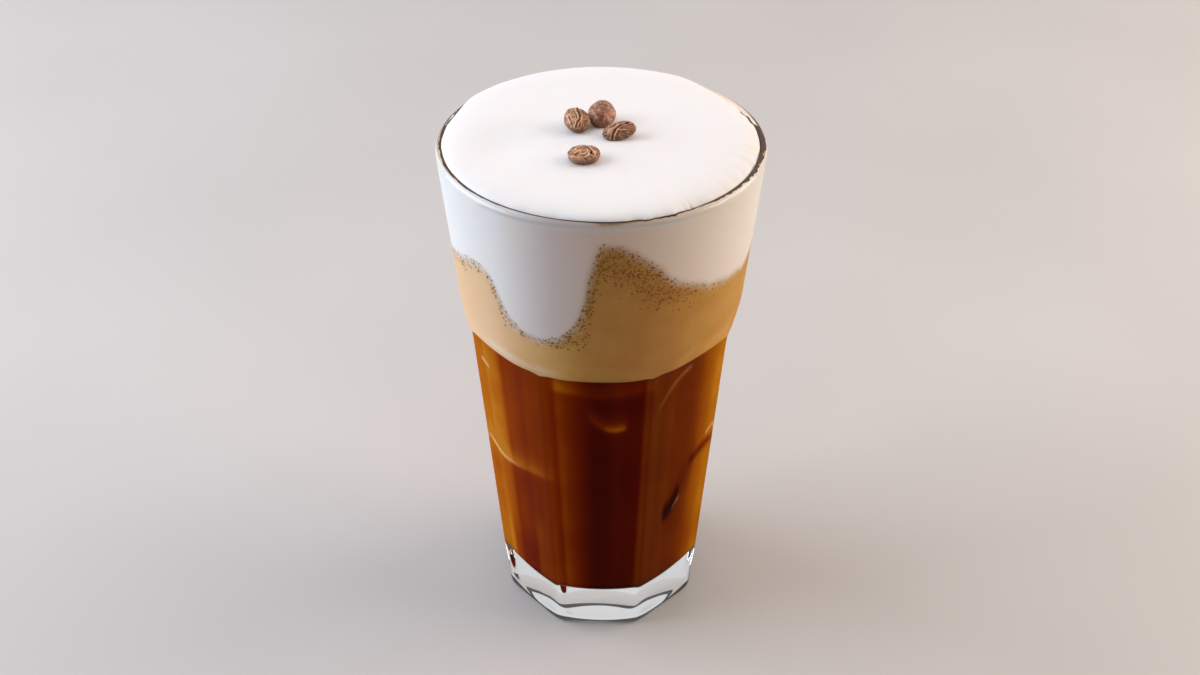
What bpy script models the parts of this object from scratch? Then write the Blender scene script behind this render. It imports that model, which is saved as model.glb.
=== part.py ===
# Iced coffee served in a tall faceted tumbler.
#
# The pressed-glass tumbler has eight flat facets up to its shoulder and a round, slightly
# flared wall above them, on a thick clear base. It holds black coffee, a tan band of crema
# that rises in uneven plumes, and a cap of milk foam standing a little over the rim, with
# four roasted coffee beans resting in the foam.
#
# The origin is the centre of the base, +Z is up and the side shown is the -Y side.
# Azimuths are degrees round +Z, counted from -Y towards +X.
import math

import bpy
import bmesh
import numpy as np
from mathutils import Euler, Matrix, Vector

MM = 0.001
STEPS = 64                          # sides of each round shape
WELD = 0.01 * MM
GAP = 0.3 * MM                      # clearance between neighbouring solids

# Tumbler
GLASS_HEIGHT = 155 * MM
RIM_RADIUS = 44 * MM                # outside of the rim
SHOULDER_HEIGHT = 104 * MM
SHOULDER_RADIUS = 39.6 * MM         # round wall where it meets the facets
BASE_BLANK_RADIUS = 32.4 * MM       # the blank at the foot, before its facets are cut
FACETS = 8
FACET_TURN = -2.15                  # azimuth of the facet that faces the viewer
FOOT_CORNER_RADIUS = 31.2 * MM      # out to the octagon's corners, at the foot
SHOULDER_CORNER_RADIUS = 38.8 * MM  # out to the octagon's corners, at the shoulder
FACET_TOP = 99.5 * MM               # here the facet starts to run out
RUN_OUT_RADIUS = 19.5 * MM
FOOT_CHAMFER = 1.2 * MM
UNDERSIDE_RADIUS = 22 * MM          # shallow hollow under the base
UNDERSIDE_DEPTH = 1.2 * MM

# Hollow of the tumbler
FLOOR_HEIGHT = 13.3 * MM
FLOOR_CORNER = 4 * MM
WAIST_HEIGHT = 98 * MM              # the inner wall bends here
WAIST_RADIUS = 32.85 * MM
LOWER_TAPER = 0.077
UPPER_TAPER = 0.158
BEND_LENGTH = 14 * MM
WALL_LEVELS = (45 * MM, 70 * MM, 84 * MM, 92 * MM, 98 * MM, 104 * MM, 112 * MM, 126 * MM)

# Drink
COFFEE_LEVEL = 102 * MM
FOAM_CROWN = 2.6 * MM               # foam above its own edge
FOAM_EDGE_POWER = 9                 # a high power gives a flat top with a rounded edge
FOAM_EDGE_RADIUS = 42.75 * MM
FOAM_SPILL = 0.95 * MM              # how much further it lies over the rim, behind on the left
SPILL_AZIMUTH = -150
HOLLOW_PLACE = (-27 * MM, -8 * MM)  # soft dip in the foam
HOLLOW_DEPTH = 0.7 * MM
HOLLOW_WIDTH = 9 * MM
CORE_LEVEL = 127 * MM               # where white and tan meet on the glass's axis
SOFTEN = 3.0                        # degrees over which the plumes are rounded

# Where white and tan meet at the wall: azimuth in degrees, height in mm
PLUMES = (
    (-175, 117), (-150, 128), (-125, 140), (-106, 133), (-88, 124.5), (-72, 127.5),
    (-54, 132), (-46, 130), (-40, 120.5), (-33, 115.5), (-22, 113.8), (-14, 116.5),
    (-8, 122), (-4, 130), (-1, 147), (3, 150), (10, 147.5), (20, 140.3), (30, 133.5),
    (42, 128.3), (55, 125.3), (72, 124.5), (90, 130), (108, 139), (128, 142), (150, 128),
    (168, 118),
)

# Coffee beans. Turn is degrees about +Z; lean tips the far side up, roll tips the right end up,
# sink is how deep the bean sits in the foam.
BEANS = (
    dict(place=(-6.7, 0.9), size=(8.8, 7.3, 4.4), turn=110, lean=22, roll=-16, sink=1.3),
    dict(place=(0.1, 5.1), size=(9.2, 7.9, 5.3), turn=84, lean=20, roll=0, sink=1.0, face_down=True),
    dict(place=(4.7, -3.3), size=(9.2, 6.8, 5.0), turn=17, lean=-36, roll=6, sink=1.3),
    dict(place=(-4.6, -16.0), size=(8.6, 7.3, 4.3), turn=12, lean=9, roll=0, sink=1.3),
)
BEAN_SEGMENTS = 20
BEAN_RINGS = 12
BACK_SHARE = 0.76                   # part of a bean's thickness on its rounded side
CREASE_DEPTH = 0.95 * MM

COLOURS = {
    # name: (sRGB hex, roughness, transmission)
    "clear_glass": ("F4F7F8", 0.02, 1.0),
    "black_coffee": ("3A1200", 0.05, 0.0),
    "crema": ("B98A55", 0.55, 0.0),
    "milk_foam": ("FBF9F8", 0.6, 0.0),
    "roasted_bean": ("6E4733", 0.42, 0.0),
}


def clear_scene():
    for obj in list(bpy.data.objects):
        bpy.data.objects.remove(obj, do_unlink=True)


def make_collection(name):
    collection = bpy.data.collections.new(name)
    bpy.context.scene.collection.children.link(collection)
    return collection


def linear(channel):
    return channel / 12.92 if channel <= 0.04045 else ((channel + 0.055) / 1.055) ** 2.4


def make_material(name):
    code, roughness, transmission = COLOURS[name]
    rgb = [linear(int(code[i:i + 2], 16) / 255) for i in (0, 2, 4)]
    material = bpy.data.materials.new(name)
    material.use_nodes = True
    shader = material.node_tree.nodes["Principled BSDF"]
    shader.inputs["Base Color"].default_value = (*rgb, 1)
    shader.inputs["Roughness"].default_value = roughness
    shader.inputs["Metallic"].default_value = 0
    shader.inputs["Transmission Weight"].default_value = transmission
    return material


def add_object(name, mesh, collection, material=None):
    obj = bpy.data.objects.new(name, mesh)
    collection.objects.link(obj)
    if material:
        mesh.materials.append(material)
    return obj


def round_shading(mesh, angle=35):
    mesh.shade_smooth()
    mesh.set_sharp_from_angle(angle=math.radians(angle))


def settle(obj, angle=35):
    """Apply the object's modifiers, drop the cutters they used, and shade it."""
    used = [m.object for m in obj.modifiers if m.type == "BOOLEAN"]
    evaluated = obj.evaluated_get(bpy.context.evaluated_depsgraph_get())
    settled = bpy.data.meshes.new_from_object(evaluated)
    obj.modifiers.clear()
    obj.data = settled
    for cutter in used:
        bpy.data.objects.remove(cutter)
    round_shading(settled, angle)


def arc(centre, radius, start, end, count):
    """Points (x, z) on an arc, from angle start to angle end in degrees."""
    angles = np.radians(np.linspace(start, end, count))
    return [(centre[0] + radius * math.cos(a), centre[1] + radius * math.sin(a)) for a in angles]


def turned(name, profile, collection, material):
    """A profile of (radius, height) points turned about +Z; outer sides run downwards."""
    mesh = bpy.data.meshes.new(name)
    edges = [(i, i + 1) for i in range(len(profile) - 1)]
    mesh.from_pydata([(r, 0, z) for r, z in profile], edges, [])
    obj = add_object(name, mesh, collection, material)
    screw = obj.modifiers.new("turn", "SCREW")
    screw.axis = "Z"
    screw.steps = screw.render_steps = STEPS
    screw.use_merge_vertices = True
    screw.merge_threshold = WELD
    screw.use_smooth_shade = True
    return obj


def cut(obj, cutter):
    """Take the cutter's shape out of the object."""
    cutter.hide_render = True
    cutter.display_type = "WIRE"
    modifier = obj.modifiers.new(f"cut_{cutter.name}", "BOOLEAN")
    modifier.operation = "DIFFERENCE"
    modifier.solver = "EXACT"
    modifier.object = cutter


# Tumbler

def inner_radius(height):
    """Radius of the hollow: two tapers joined by a soft bend at the waist."""
    above = np.asarray(height) - WAIST_HEIGHT
    bend = 0.5 * (above + np.sqrt(above ** 2 + BEND_LENGTH ** 2))
    return WAIST_RADIUS + LOWER_TAPER * above + (UPPER_TAPER - LOWER_TAPER) * bend


def lip_geometry():
    """Radius of the rounded lip, and the (radius, height) of its centre."""
    half = (RIM_RADIUS - float(inner_radius(GLASS_HEIGHT))) / 2
    return half, (RIM_RADIUS - half, GLASS_HEIGHT - half)


def floor_corner(clearance):
    """The rounded corner between the floor and the inner wall, set in by a clearance."""
    height = FLOOR_HEIGHT + FLOOR_CORNER
    centre = (float(inner_radius(height)) - FLOOR_CORNER, height)
    return arc(centre, FLOOR_CORNER - clearance, -90, 0, 5)


def make_glass(collection, cutters, material):
    half, centre = lip_geometry()
    inside = [(0, FLOOR_HEIGHT), *floor_corner(0)]
    inside += [(float(inner_radius(z)), z) for z in WALL_LEVELS]
    lip = arc(centre, half, 180, 0, 9)
    outside = [(SHOULDER_RADIUS, SHOULDER_HEIGHT), (BASE_BLANK_RADIUS, 0)]
    hollow = [
        (UNDERSIDE_RADIUS * share, UNDERSIDE_DEPTH * (1 - share ** 2))
        for share in (1, 0.8, 0.5, 0)
    ]
    glass = turned("glass", inside + lip + outside + hollow, collection, material)
    for i in range(FACETS):
        azimuth = FACET_TURN + i * 360 / FACETS
        cut(glass, facet_cutter(f"facet_{i + 1}", azimuth, cutters))
    settle(glass)


def facet_cutter(name, azimuth, cutters):
    """All that lies outside one facet, whose plane curves outwards at the shoulder."""
    flat = math.cos(math.pi / FACETS)
    foot = FOOT_CORNER_RADIUS * flat
    rise = (SHOULDER_CORNER_RADIUS * flat - foot) / SHOULDER_HEIGHT
    tilt = math.degrees(math.atan(rise))
    top = (foot + rise * FACET_TOP, FACET_TOP)
    centre = (
        top[0] + RUN_OUT_RADIUS * math.cos(math.radians(tilt)),
        top[1] - RUN_OUT_RADIUS * math.sin(math.radians(tilt)),
    )
    run_out = arc(centre, RUN_OUT_RADIUS, 180 - tilt, 126 - tilt, 8)
    outline = [
        (foot - 2 * FOOT_CHAMFER, -FOOT_CHAMFER),
        (foot + rise * FOOT_CHAMFER, FOOT_CHAMFER),
        *run_out,
        (1.4 * RIM_RADIUS, run_out[-1][1]),
        (1.4 * RIM_RADIUS, -FOOT_CHAMFER),
    ]
    prism = flat_prism(name, outline, 0.6 * RIM_RADIUS, cutters)
    stand_up = Matrix.Rotation(math.radians(90), 4, "X")
    prism.matrix_world = Matrix.Rotation(math.radians(azimuth - 90), 4, "Z") @ stand_up
    return prism


def flat_prism(name, outline, half_thickness, collection):
    """A closed outline in XY given a thickness along Z, as a mesh."""
    curve = bpy.data.curves.new(name, "CURVE")
    curve.dimensions = "2D"
    curve.fill_mode = "BOTH"
    curve.extrude = half_thickness
    spline = curve.splines.new("POLY")
    spline.points.add(len(outline) - 1)
    for point, (x, y) in zip(spline.points, outline):
        point.co = (x, y, 0, 1)
    spline.use_cyclic_u = True
    guide = add_object(f"{name}_outline", curve, collection)
    evaluated = guide.evaluated_get(bpy.context.evaluated_depsgraph_get())
    mesh = bpy.data.meshes.new_from_object(evaluated)
    bpy.data.objects.remove(guide)
    weld_and_face_out(mesh)
    return add_object(name, mesh, collection)


def weld_and_face_out(mesh):
    work = bmesh.new()
    work.from_mesh(mesh)
    bmesh.ops.remove_doubles(work, verts=work.verts, dist=WELD)
    bmesh.ops.recalc_face_normals(work, faces=work.faces)
    work.to_mesh(mesh)
    work.free()


# Drink

def make_coffee(collection, material):
    """The coffee fills the hollow up to its level, clear of the wall."""
    top = COFFEE_LEVEL - GAP / 2
    corner = floor_corner(GAP)
    wall = [(float(inner_radius(z)) - GAP, z) for z in reversed(WALL_LEVELS) if z < top]
    profile = [(0, top), (float(inner_radius(top)) - GAP, top), *wall, *reversed(corner)]
    profile.append((0, corner[0][1]))
    settle(turned("coffee", profile, collection, material))


def plume_level(azimuth):
    """Height at the wall where white meets tan, the mean over a few degrees of straight runs."""
    places, heights = zip(*PLUMES)
    spread = np.linspace(-SOFTEN, SOFTEN, 9)
    levels = [np.interp(azimuth + s, places, heights, period=360) for s in spread]
    return np.mean(levels, axis=0) * MM


def boundary_height(x, y):
    """Height of the white and tan boundary: the wall's plumes, flattening towards the axis."""
    level = plume_level(np.degrees(np.arctan2(x, -y)))
    share = np.hypot(x, y) / inner_radius(level)
    return CORE_LEVEL + (level - CORE_LEVEL) * share ** 2


def half_gap(x, y):
    """Half the clearance at the boundary, measured upwards, so that steep parts keep it too."""
    step = 0.5 * MM
    across = (boundary_height(x + step, y) - boundary_height(x - step, y)) / (2 * step)
    along = (boundary_height(x, y + step) - boundary_height(x, y - step)) / (2 * step)
    return GAP / 2 * np.sqrt(1 + across ** 2 + along ** 2)


def circle(radius, height):
    """One ring of points; radius and height may differ with the azimuth."""
    azimuths = np.radians(ring_azimuths())
    radius, height = np.broadcast_arrays(radius, height, azimuths)[:2]
    return np.stack([radius * np.sin(azimuths), -radius * np.cos(azimuths), height], axis=1)


def ring_azimuths():
    return 90 + np.arange(STEPS) * 360 / STEPS


def loft(name, top, rings, bottom, collection, material):
    """A closed skin over rings of points, with a point at the top and one at the bottom.

    The same diagonal, inner point to the next outer point, splits each face of a ring pair,
    so that two skins over one grid fit each other.
    """
    points = [top, *[tuple(p) for ring in rings for p in ring], bottom]
    last = len(points) - 1
    faces = []
    for j in range(STEPS):
        k = (j + 1) % STEPS
        faces.append((0, 1 + j, 1 + k))
        faces.append((last, last - STEPS + k, last - STEPS + j))
    for i in range(len(rings) - 1):
        inward = np.hypot(*rings[i + 1].T[:2]).mean() < np.hypot(*rings[i].T[:2]).mean() - GAP
        for j in range(STEPS):
            k = (j + 1) % STEPS
            a, a_next = 1 + i * STEPS + j, 1 + i * STEPS + k
            b, b_next = a + STEPS, a_next + STEPS
            if inward:
                faces += [(a, b, a_next), (b, b_next, a_next)]
            else:
                faces += [(a, b, b_next), (a, b_next, a_next)]
    mesh = bpy.data.meshes.new(name)
    mesh.from_pydata(points, [], faces)
    round_shading(mesh, 50)
    return add_object(name, mesh, collection, material)


def boundary_rings(side):
    """Rings over the boundary from the middle outwards; side is 1 above it, -1 below it."""
    level = plume_level(ring_azimuths())
    wall = circle(inner_radius(level - 3 * GAP) - GAP, 0)
    rings = []
    for share in (0.2, 0.4, 0.6, 0.75, 0.88, 1):
        ring = wall * share
        x, y = ring[:, 0], ring[:, 1]
        ring[:, 2] = boundary_height(x, y) + side * half_gap(x, y)
        rings.append(ring)
    return rings, (0, 0, CORE_LEVEL + side * GAP / 2)


def wall_rings(low, high, shares):
    """Rings on the inner wall, at shares of the way from low to high."""
    rings = []
    for share in shares:
        height = low + (high - low) * share
        rings.append(circle(inner_radius(height) - GAP, height))
    return rings


def make_crema(collection, material):
    rings, crown = boundary_rings(-1)
    floor = COFFEE_LEVEL + GAP / 2
    sides = wall_rings(floor, rings[-1][:, 2], (0.75, 0.5, 0.25, 0))
    loft("crema", crown, rings + sides, (0, 0, floor), collection, material)


def foam_edge(azimuth):
    """Radius of the foam's edge: on the lip, and further over the rim behind on the left."""
    spill = np.clip(np.cos(np.radians(azimuth - SPILL_AZIMUTH)) * 2.2, -0.45, 1)
    ripple = 0.12 * MM * np.sin(np.radians(azimuth) * 5) * np.cos(np.radians(azimuth) * 3 + 1)
    return FOAM_EDGE_RADIUS + FOAM_SPILL * spill + ripple


def lip_top(radius):
    """Height at which foam clears the rounded lip."""
    half, centre = lip_geometry()
    inside = np.clip(centre[0] - radius, 0, half + GAP)
    return centre[1] + np.sqrt((half + GAP) ** 2 - inside ** 2)


def foam_top(x, y):
    """Height of the foam's top: a flat crown with a rounded edge, low swells and one dip."""
    azimuth = np.degrees(np.arctan2(x, -y))
    edge = foam_edge(azimuth)
    share = np.clip(np.hypot(x, y) / edge, 0, 1)
    crown = FOAM_CROWN * np.sqrt(1 - share ** FOAM_EDGE_POWER)
    swell = 0.18 * MM * (np.sin(x / (11 * MM) + 0.6) + np.cos(y / (9 * MM)))
    from_dip = np.hypot(x - HOLLOW_PLACE[0], y - HOLLOW_PLACE[1]) / HOLLOW_WIDTH
    dip = HOLLOW_DEPTH * np.exp(-from_dip ** 2)
    return lip_top(edge) + crown + (swell - dip) * (1 - share ** 4)


def make_milk_foam(collection, material):
    azimuths = ring_azimuths()
    edge = foam_edge(azimuths)
    top = []
    for share in (0.14, 0.28, 0.42, 0.56, 0.7, 0.82, 0.91, 0.965, 0.99, 1):
        ring = circle(edge * share, 0)
        ring[:, 2] = foam_top(ring[:, 0], ring[:, 1])
        top.append(ring)
    half, centre = lip_geometry()
    clear = half + GAP
    reach = np.arccos((centre[0] - np.minimum(edge, centre[0])) / clear)
    over_lip = [
        circle(centre[0] - clear * np.cos(reach * part), centre[1] + clear * np.sin(reach * part))
        for part in (0.66, 0.33, 0)
    ]
    below, core = boundary_rings(1)
    sides = wall_rings(below[-1][:, 2] + GAP, centre[1] - GAP, (1, 0.8, 0.6, 0.4, 0.2, 0))
    crown = (0, 0, float(foam_top(0, 0)))
    rings = top + over_lip + sides + below[::-1]
    return loft("milk_foam", crown, rings, core, collection, material)


# Coffee beans

def bean_mesh(name, size, grow=0, creased=True):
    """A half ellipsoid with a slightly bulging flat side, creased along its length.

    It is an ellipsoid with its poles at the two ends; the side above its widest line is
    pressed flat and the line along its middle is pushed in.
    """
    half_length, half_width, thickness = size[0] * MM / 2, size[1] * MM / 2, size[2] * MM
    work = bmesh.new()
    bmesh.ops.create_uvsphere(work, u_segments=BEAN_SEGMENTS, v_segments=BEAN_RINGS, radius=1)
    bmesh.ops.rotate(work, verts=work.verts, matrix=Matrix.Rotation(math.radians(90), 3, "Y"))
    for vert in work.verts:
        along, across, up = vert.co
        middle = creased and up > 0 and abs(across) < 0.01
        depth = CREASE_DEPTH * math.sqrt(max(0, 1 - along ** 2)) if middle else 0
        half_height = thickness * (BACK_SHARE if up < 0 else 1 - BACK_SHARE)
        reach = Vector((half_length + grow, half_width + grow, half_height + grow))
        vert.co = vert.co * reach - Vector((0, 0, depth))
    mesh = bpy.data.meshes.new(name)
    work.to_mesh(mesh)
    work.free()
    return mesh


def bean_matrix(spec, mesh):
    """Turn, lean and roll the bean, then set it so deep into the foam's top."""
    tips = (Matrix.Rotation(math.radians(-spec["roll"]), 4, "Y")
            @ Matrix.Rotation(math.radians(spec["lean"]), 4, "X"))
    flip = math.pi if spec.get("face_down") else 0
    turn = Euler((flip, 0, math.radians(spec["turn"]))).to_matrix().to_4x4()
    pose = tips @ turn
    lowest = min((pose @ vert.co).z for vert in mesh.vertices)
    x, y = (value * MM for value in spec["place"])
    height = float(foam_top(x, y)) - spec["sink"] * MM - lowest
    return Matrix.Translation((x, y, height)) @ pose


def make_beans(collection, cutters, foam, material):
    for number, spec in enumerate(BEANS, 1):
        mesh = bean_mesh(f"coffee_bean_{number}", spec["size"])
        round_shading(mesh, 40)
        bean = add_object(mesh.name, mesh, collection, material)
        bean.matrix_world = bean_matrix(spec, mesh)
        seat_mesh = bean_mesh(f"seat_{number}", spec["size"], grow=GAP, creased=False)
        seat = add_object(seat_mesh.name, seat_mesh, cutters)
        seat.matrix_world = bean.matrix_world
        cut(foam, seat)
    settle(foam, 50)


def main():
    clear_scene()
    collection = make_collection("iced_coffee")
    cutters = make_collection("cutters")
    materials = {name: make_material(name) for name in COLOURS}
    make_glass(collection, cutters, materials["clear_glass"])
    make_coffee(collection, materials["black_coffee"])
    make_crema(collection, materials["crema"])
    foam = make_milk_foam(collection, materials["milk_foam"])
    make_beans(collection, cutters, foam, materials["roasted_bean"])


main()
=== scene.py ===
import bpy
import numpy as np
from mathutils import Euler, Matrix, Vector


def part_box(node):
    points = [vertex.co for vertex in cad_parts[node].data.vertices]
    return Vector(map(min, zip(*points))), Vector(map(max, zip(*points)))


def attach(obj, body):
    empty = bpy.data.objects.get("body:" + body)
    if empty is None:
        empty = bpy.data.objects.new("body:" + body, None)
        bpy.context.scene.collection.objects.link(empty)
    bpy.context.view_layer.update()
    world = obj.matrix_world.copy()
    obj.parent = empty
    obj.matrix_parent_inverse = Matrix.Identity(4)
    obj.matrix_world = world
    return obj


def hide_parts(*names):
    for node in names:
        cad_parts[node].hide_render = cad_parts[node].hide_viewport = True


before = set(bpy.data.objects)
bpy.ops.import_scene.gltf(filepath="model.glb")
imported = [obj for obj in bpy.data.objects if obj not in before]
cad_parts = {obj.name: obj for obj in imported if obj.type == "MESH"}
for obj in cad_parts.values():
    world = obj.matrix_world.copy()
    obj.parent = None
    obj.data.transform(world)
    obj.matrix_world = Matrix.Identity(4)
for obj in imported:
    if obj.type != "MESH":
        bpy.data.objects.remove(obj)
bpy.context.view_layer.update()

# Iced coffee in a tall faceted tumbler: the looks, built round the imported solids.
# Lengths are millimetres here and metres in the meshes. Azimuths are degrees round +Z, counted
# from -Y, the side shown, towards +X.
mm = 0.001
glassHigh = np.array(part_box("glass")[1]) / mm
rimRadius, glassHeight = glassHigh[0], glassHigh[2]
print("frame loaded, the glass is", round(glassHeight, 1), "mm tall")


# Number helpers

def softStep(low, high, value):
    # 0 below low, 1 above high, and 3t^2 - 2t^3 between them
    t = np.clip((value - low) / (high - low), 0, 1)
    return t * t * (3 - 2 * t)


def latticeNoise(points, cell, seed):
    # random values from -1 to 1 on a cubic lattice of this cell size, blended by 3t^2 - 2t^3 on each axis
    scaled = np.asarray(points, float) / cell
    base = np.floor(scaled).astype(np.int64)
    t = scaled - base
    t = t * t * (3 - 2 * t)
    total = np.zeros(scaled.shape[:-1])
    for corner in np.ndindex(2, 2, 2):
        index = base + corner
        code = index[..., 0] * 73856093 ^ index[..., 1] * 19349663 ^ index[..., 2] * 83492791 ^ seed * 51787
        code = (code ^ (code >> 13)) * 1274126177 & 0x7FFFFFFF
        value = ((code ^ (code >> 16)) & 0xFFFF) / 32767.5 - 1
        total += value * np.prod(np.where(corner, t, 1 - t), axis=-1)
    return total


def layeredNoise(points, cell, seed, layers=3):
    # each layer has half the cell and half the height of the one before
    return sum(latticeNoise(points, cell / 2 ** i, seed + i) / 2 ** i for i in range(layers))


# Mesh helpers

def ring(radius, height, azimuth):
    # points at x = r sin a, y = -r cos a; the three arguments broadcast to (rows, columns)
    radius, height, azimuth = np.broadcast_arrays(radius, height, np.radians(azimuth))
    return np.stack([radius * np.sin(azimuth), -radius * np.cos(azimuth), height], -1)


def skinFaces(rows, columns):
    # faces of a closed skin: a point, rows of points joined by four-sided faces, and a last point
    j = np.arange(columns)
    k = np.roll(j, -1)
    first = 1 + columns * np.arange(rows - 3)[:, None]
    quads = np.stack([first + j, first + columns + j, first + columns + k, first + k], -1).reshape(-1, 4)
    last = 1 + columns * (rows - 2)
    start = np.stack([0 * j, 1 + j, 1 + k], -1)
    end = np.stack([0 * j + last, last - columns + k, last - columns + j], -1)
    return [quads, np.concatenate([start, end])]


def skinPoints(grid):
    # the first and the last row of a skin are single points
    return np.concatenate([grid[0, :1], grid[1:-1].reshape(-1, *grid.shape[2:]), grid[-1, :1]])


def buildMesh(name, points, faces, materials, attributes=None, sharpAngle=40):
    # whole arrays of points and faces into one smooth-shaded piece at the origin
    sizes = np.concatenate([np.full(len(part), part.shape[1]) for part in faces])
    corners = np.concatenate([part.ravel() for part in faces])
    mesh = bpy.data.meshes.new(name)
    mesh.vertices.add(len(points))
    mesh.vertices.foreach_set("co", (np.asarray(points) * mm).ravel())
    mesh.loops.add(len(corners))
    mesh.loops.foreach_set("vertex_index", corners)
    mesh.polygons.add(len(sizes))
    mesh.polygons.foreach_set("loop_start", np.concatenate([[0], np.cumsum(sizes)[:-1]]))
    for key, values in (attributes or {}).items():
        kind, field = ("FLOAT_VECTOR", "vector") if np.ndim(values) == 2 else ("FLOAT", "value")
        mesh.attributes.new(key, kind, "POINT").data.foreach_set(field, np.asarray(values, float).ravel())
    mesh.update(calc_edges=True)
    mesh.validate()
    mesh.shade_smooth()
    mesh.set_sharp_from_angle(angle=np.radians(sharpAngle))
    for material in materials:
        mesh.materials.append(material)
    piece = bpy.data.objects.new(name, mesh)
    bpy.context.scene.collection.objects.link(piece)
    return piece


def laySkin(name, grid, materials, attributes=None, **settings):
    # a closed skin over a grid of rows, with one value or one colour of each attribute a point
    values = {key: skinPoints(value) for key, value in (attributes or {}).items()}
    return buildMesh(name, skinPoints(grid), skinFaces(*grid.shape[:2]), materials, values, **settings)


# Material helpers

def linearColour(code):
    # an sRGB hex value as linear red, green, blue and alpha
    srgb = np.array([int(code[i:i + 2], 16) for i in (0, 2, 4)]) / 255
    return (*np.where(srgb <= 0.04045, srgb / 12.92, ((srgb + 0.055) / 1.055) ** 2.4), 1)


def addNode(tree, kind, inputs=None, **settings):
    # inputs gives each socket a value, or the socket of another node that feeds it
    node = tree.nodes.new(kind)
    for key, value in settings.items():
        setattr(node, key, value)
    for key, value in (inputs or {}).items():
        if isinstance(value, bpy.types.NodeSocket):
            tree.links.new(value, node.inputs[key])
        else:
            node.inputs[key].default_value = value
    return node


def startMaterial(name):
    material = bpy.data.materials.new(name)
    material.use_nodes = True
    material.node_tree.nodes.clear()
    return material, material.node_tree


def colourRamp(tree, factor, stops):
    # stops are (place, hex) pairs
    node = addNode(tree, "ShaderNodeValToRGB", {"Fac": factor})
    ramp = node.color_ramp
    for index, (place, code) in enumerate(stops):
        stop = ramp.elements[index] if index < 2 else ramp.elements.new(place)
        stop.position = place
        stop.color = linearColour(code)
    return node.outputs["Color"]


# Tumbler

tumbler = dict(
    shoulderHeight=104, shoulderRadius=39.6, blankFoot=32.4, facets=8, facetTurn=-2.15,
    footCorner=31.2, shoulderCorner=38.8,      # out to the octagon's corners
    facetTop=99.5, runOut=19.5, edgeSoftness=0.25, footSoftness=0.6, footSoftZone=(20, 6), footRounding=1.5,
    hollowRadius=25, hollowDepth=1.2,
    floorHeight=13.3, floorCorner=4, waistHeight=98, waistRadius=32.85,
    lowerTaper=0.077, upperTaper=0.158, bendLength=14,
    waviness=0.03, wavinessCell=13, wavinessTop=145, columnsPerFacet=52, bunching=0.75,
    mirror=0.09, lipMirrorZone=(152.8, 153.8),      # share of bare glass's mirror, and where it grows to all of it
    baseShadeZone=(9, 15),                          # the thick base below it throws a darker shade
)


def innerRadius(height):
    # two tapers joined by a hyperbola at the waist
    above = height - tumbler["waistHeight"]
    bend = 0.5 * (above + np.sqrt(above ** 2 + tumbler["bendLength"] ** 2))
    steeper = tumbler["upperTaper"] - tumbler["lowerTaper"]
    return tumbler["waistRadius"] + tumbler["lowerTaper"] * above + steeper * bend


lipHalf = (rimRadius - innerRadius(glassHeight)) / 2
lipRadius, lipHeight = rimRadius - lipHalf, glassHeight - lipHalf
cornerHeight = tumbler["floorHeight"] + tumbler["floorCorner"]
cornerRadius = innerRadius(cornerHeight) - tumbler["floorCorner"]


def facetReach(height):
    # a facet's distance from the axis: a straight lean, then an arc that carries it outwards
    flat = np.cos(np.pi / tumbler["facets"])
    foot = tumbler["footCorner"] * flat
    lean = (tumbler["shoulderCorner"] * flat - foot) / tumbler["shoulderHeight"]
    tilt = np.arctan(lean)
    outwards = foot + lean * tumbler["facetTop"] + tumbler["runOut"] * np.cos(tilt)
    above = np.clip(height - tumbler["facetTop"] + tumbler["runOut"] * np.sin(tilt), 0, tumbler["runOut"])
    curved = outwards - np.sqrt(tumbler["runOut"] ** 2 - above ** 2)
    return np.where(height < tumbler["facetTop"], foot + lean * height, curved)


def outerRadius(azimuth, height):
    # smooth minimum, -s ln(sum of exp(-r / s)), of the round wall and the eight facet planes
    levels = [0, tumbler["shoulderHeight"], lipHeight]
    wall = np.interp(height, levels, [tumbler["blankFoot"], tumbler["shoulderRadius"], rimRadius])
    reach = facetReach(height)
    radii = [wall + 0 * azimuth]
    for i in range(tumbler["facets"]):
        facing = np.cos(np.radians(azimuth - tumbler["facetTurn"] - i * 360 / tumbler["facets"]))
        radii.append(reach / np.clip(facing, 0.5, 1))
    soft = tumbler["edgeSoftness"] + tumbler["footSoftness"] * softStep(*tumbler["footSoftZone"], height)
    least = np.min(radii, axis=0)
    blend = least - soft * np.log(sum(np.exp((least - radius) / soft) for radius in radii))
    rounding = tumbler["footRounding"]
    low = np.clip(rounding - height, 0, rounding)
    return blend - rounding + np.sqrt(rounding ** 2 - low ** 2)


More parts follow.
